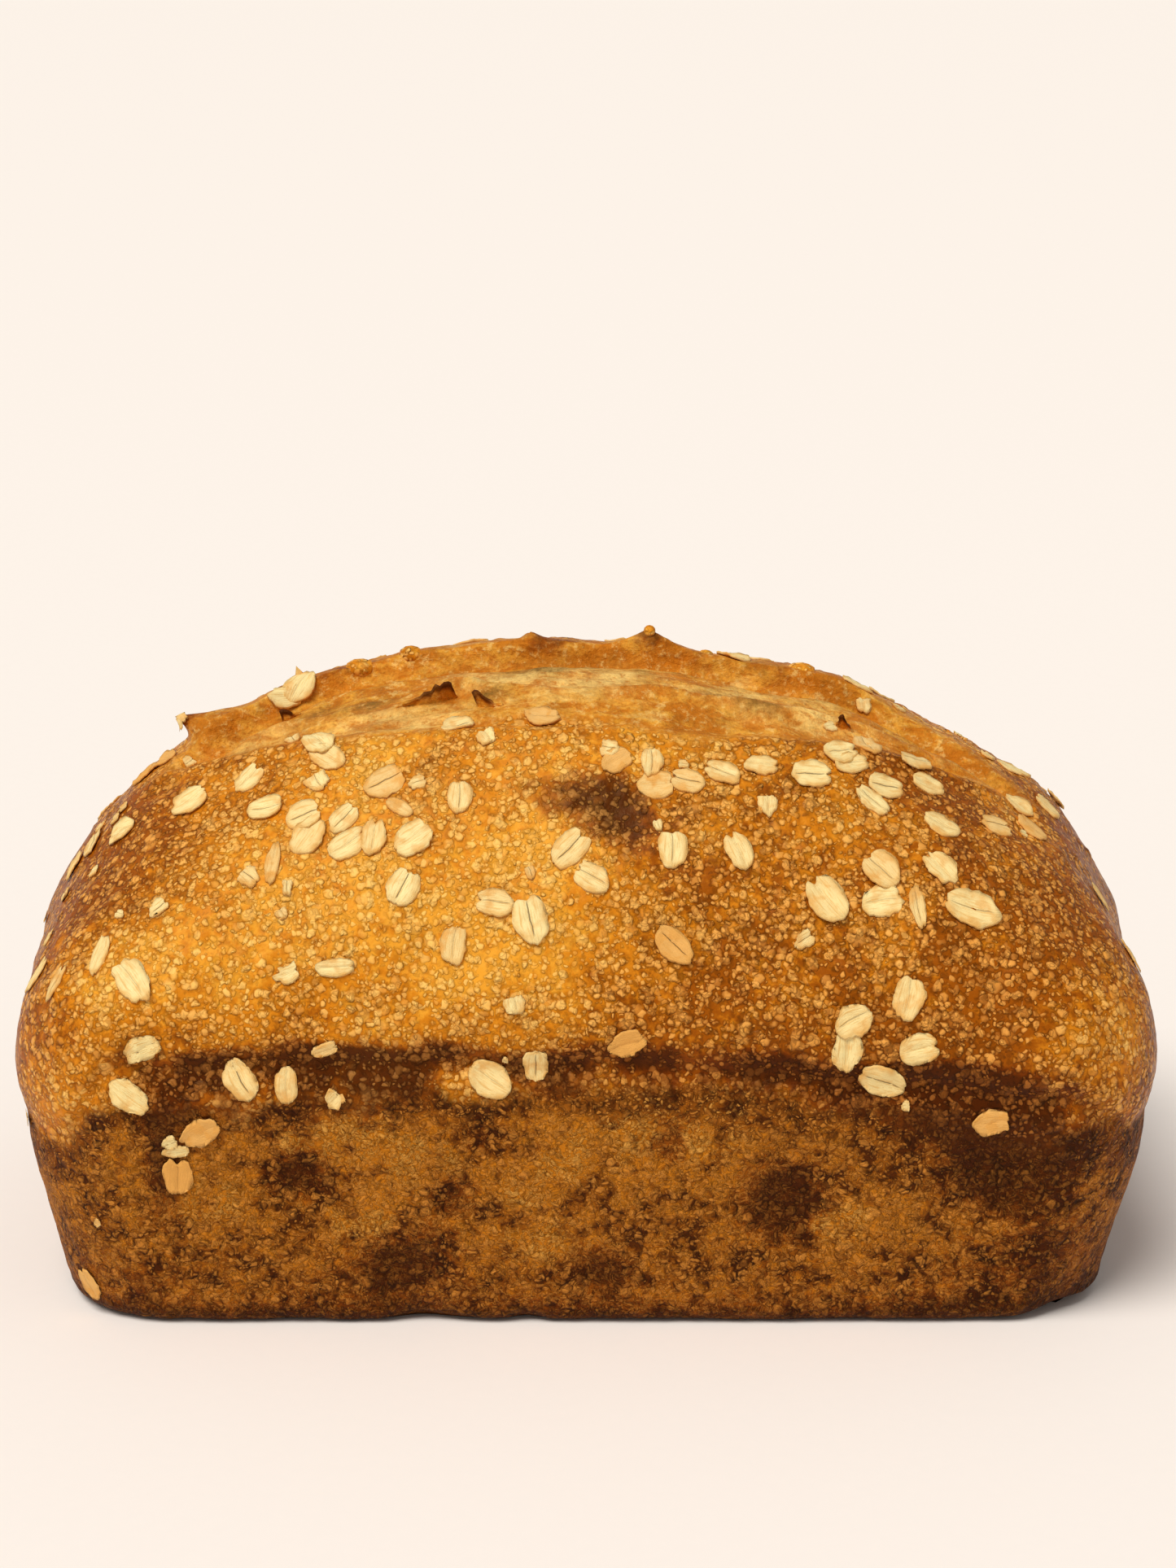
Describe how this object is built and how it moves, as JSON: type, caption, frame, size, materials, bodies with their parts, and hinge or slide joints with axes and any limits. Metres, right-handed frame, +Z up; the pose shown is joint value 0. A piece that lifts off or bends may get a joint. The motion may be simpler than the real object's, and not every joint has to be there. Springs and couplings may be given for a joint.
{
  "type": "sourdough tin loaf",
  "caption": "Whole sourdough loaf baked in a long tin, with a domed free crust, a torn score along its top and rolled oats baked on.",
  "frame": {"origin": "centre of the flat base, on the surface that the loaf stands on", "axes": "+X along the loaf, +Y across it to the rear, away from the side the picture shows, +Z up"},
  "size_m": [0.2324, 0.1283, 0.1307],
  "materials": {
    "crust": null,
    "oats": null
  },
  "bodies": {
    "root": {"loaf": "crust"}
  },
  "joints": []
}
